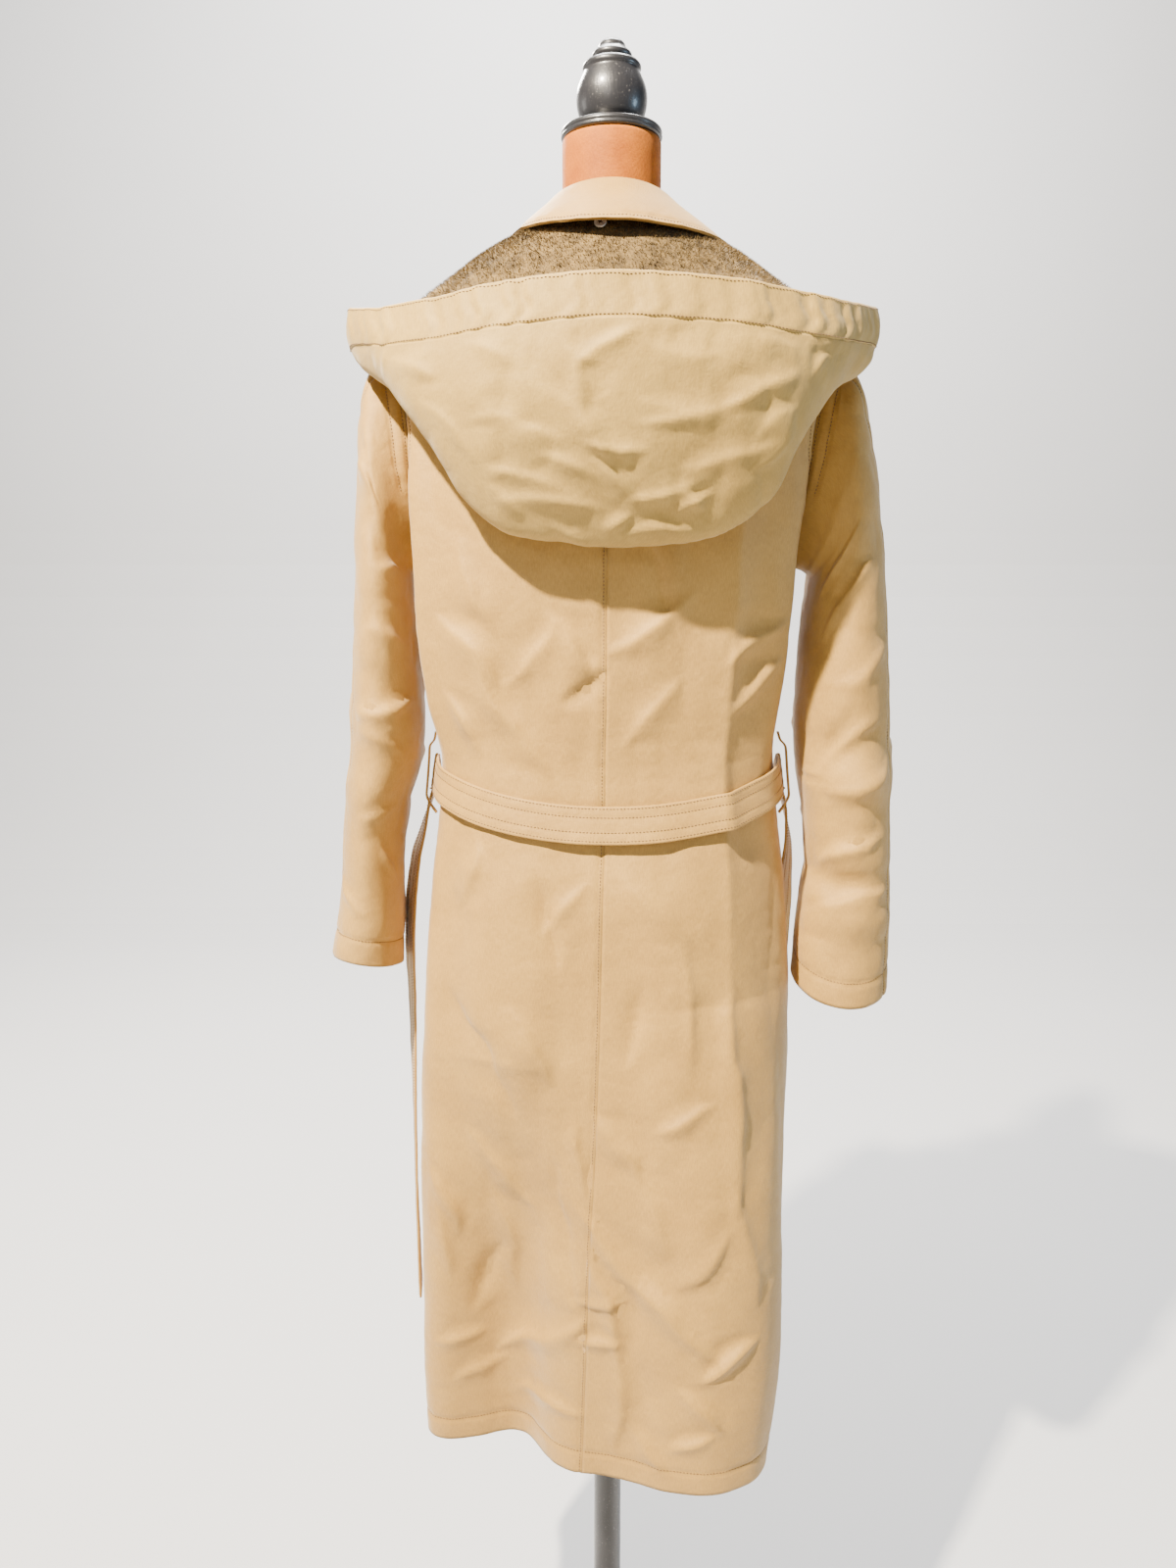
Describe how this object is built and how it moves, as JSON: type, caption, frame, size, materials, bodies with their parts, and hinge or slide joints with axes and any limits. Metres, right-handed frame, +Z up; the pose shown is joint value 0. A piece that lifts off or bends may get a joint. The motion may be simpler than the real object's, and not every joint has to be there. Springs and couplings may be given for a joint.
{
  "type": "trench coat on a dress form",
  "caption": "Long belted cotton trench coat with a pile-lined hood lying open down the back, hanging on a limbless dress form with a pole and a round foot.",
  "frame": {"origin": "middle of the bounding box, on the floor under the foot", "axes": "+Z up along the form's pole, +X to the wearer's left, the coat's front faces -Y and its back faces +Y"},
  "size_m": [0.577, 0.361, 1.7907],
  "materials": {
    "cotton": "closely woven beige cotton gabardine, matt with a faint sheen",
    "pile": "short dense taupe pile lining",
    "form_cover": "tan woven cover stretched over padding",
    "black_wood": "turned wood, black lacquer with fine open grain",
    "horn_button": "mottled brown resin, polished",
    "white_button": "off-white resin"
  },
  "bodies": {
    "root": {"back_left": "cotton", "back_right": "cotton", "front_left": "cotton", "front_right": "cotton", "sleeve_left_upper": "cotton", "sleeve_left_under": "cotton", "sleeve_right_upper": "cotton", "sleeve_right_under": "cotton", "collar_stand": "cotton", "collar_fall": "cotton", "hood_shell": "cotton", "hood_casing": "cotton", "hood_lining": "pile", "belt_back": "cotton", "belt_tail_left": "cotton", "belt_tail_right": "cotton", "belt_loop_left": "cotton", "belt_loop_right": "cotton", "front_button_1": "horn_button", "front_button_2": "horn_button", "front_button_3": "horn_button", "front_button_4": "horn_button", "front_button_5": "horn_button", "front_button_6": "horn_button", "hood_button_left": "white_button", "hood_button_centre": "white_button", "hood_button_right": "white_button", "form_torso": "form_cover", "form_neck": "form_cover", "neck_cap": "black_wood", "finial": "black_wood", "pole": "black_wood", "foot": "black_wood"}
  },
  "joints": []
}
